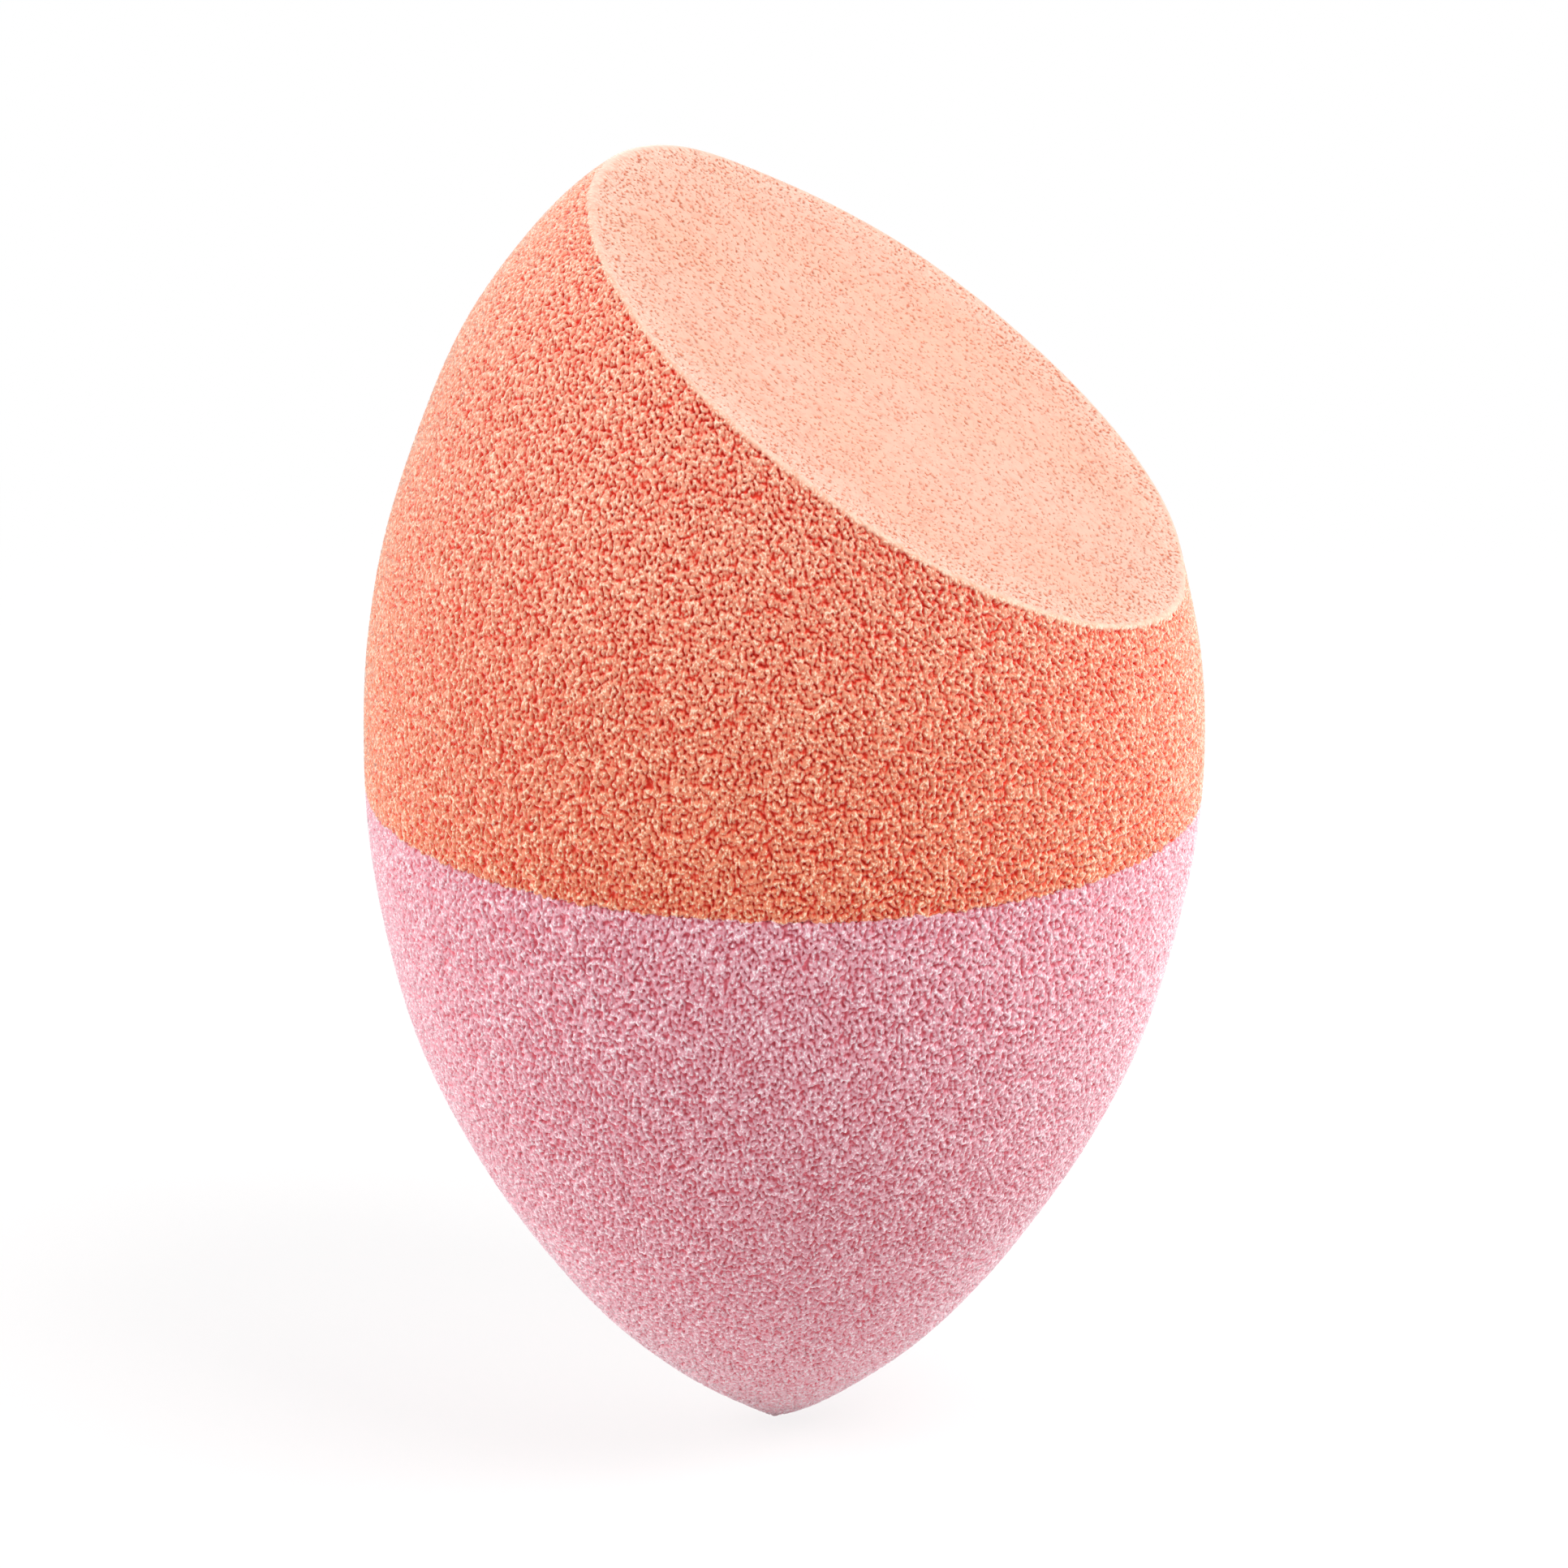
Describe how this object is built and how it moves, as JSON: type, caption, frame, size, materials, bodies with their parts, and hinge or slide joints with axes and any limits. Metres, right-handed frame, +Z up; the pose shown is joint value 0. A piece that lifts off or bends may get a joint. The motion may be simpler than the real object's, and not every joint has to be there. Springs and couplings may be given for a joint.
{
  "type": "makeup sponge",
  "caption": "Lemon-shaped foam makeup sponge, coral over pink, with a blunt pointed tip for detail work and a slanted flat face for dabbing and blending.",
  "frame": {"origin": "the pointed tip, on the sponge's axis", "axes": "+Z up along the axis from the tip to the slanted face, +X the way the slanted face runs downhill, so the XZ plane is the mirror plane"},
  "size_m": [0.04, 0.04, 0.062],
  "materials": {
    "coral_foam": "matte",
    "pink_foam": "matte",
    "bond_adhesive": "matte"
  },
  "bodies": {
    "root": {"slant_end_foam": "coral_foam", "tip_end_foam": "pink_foam", "bond_film": "bond_adhesive"}
  },
  "joints": []
}
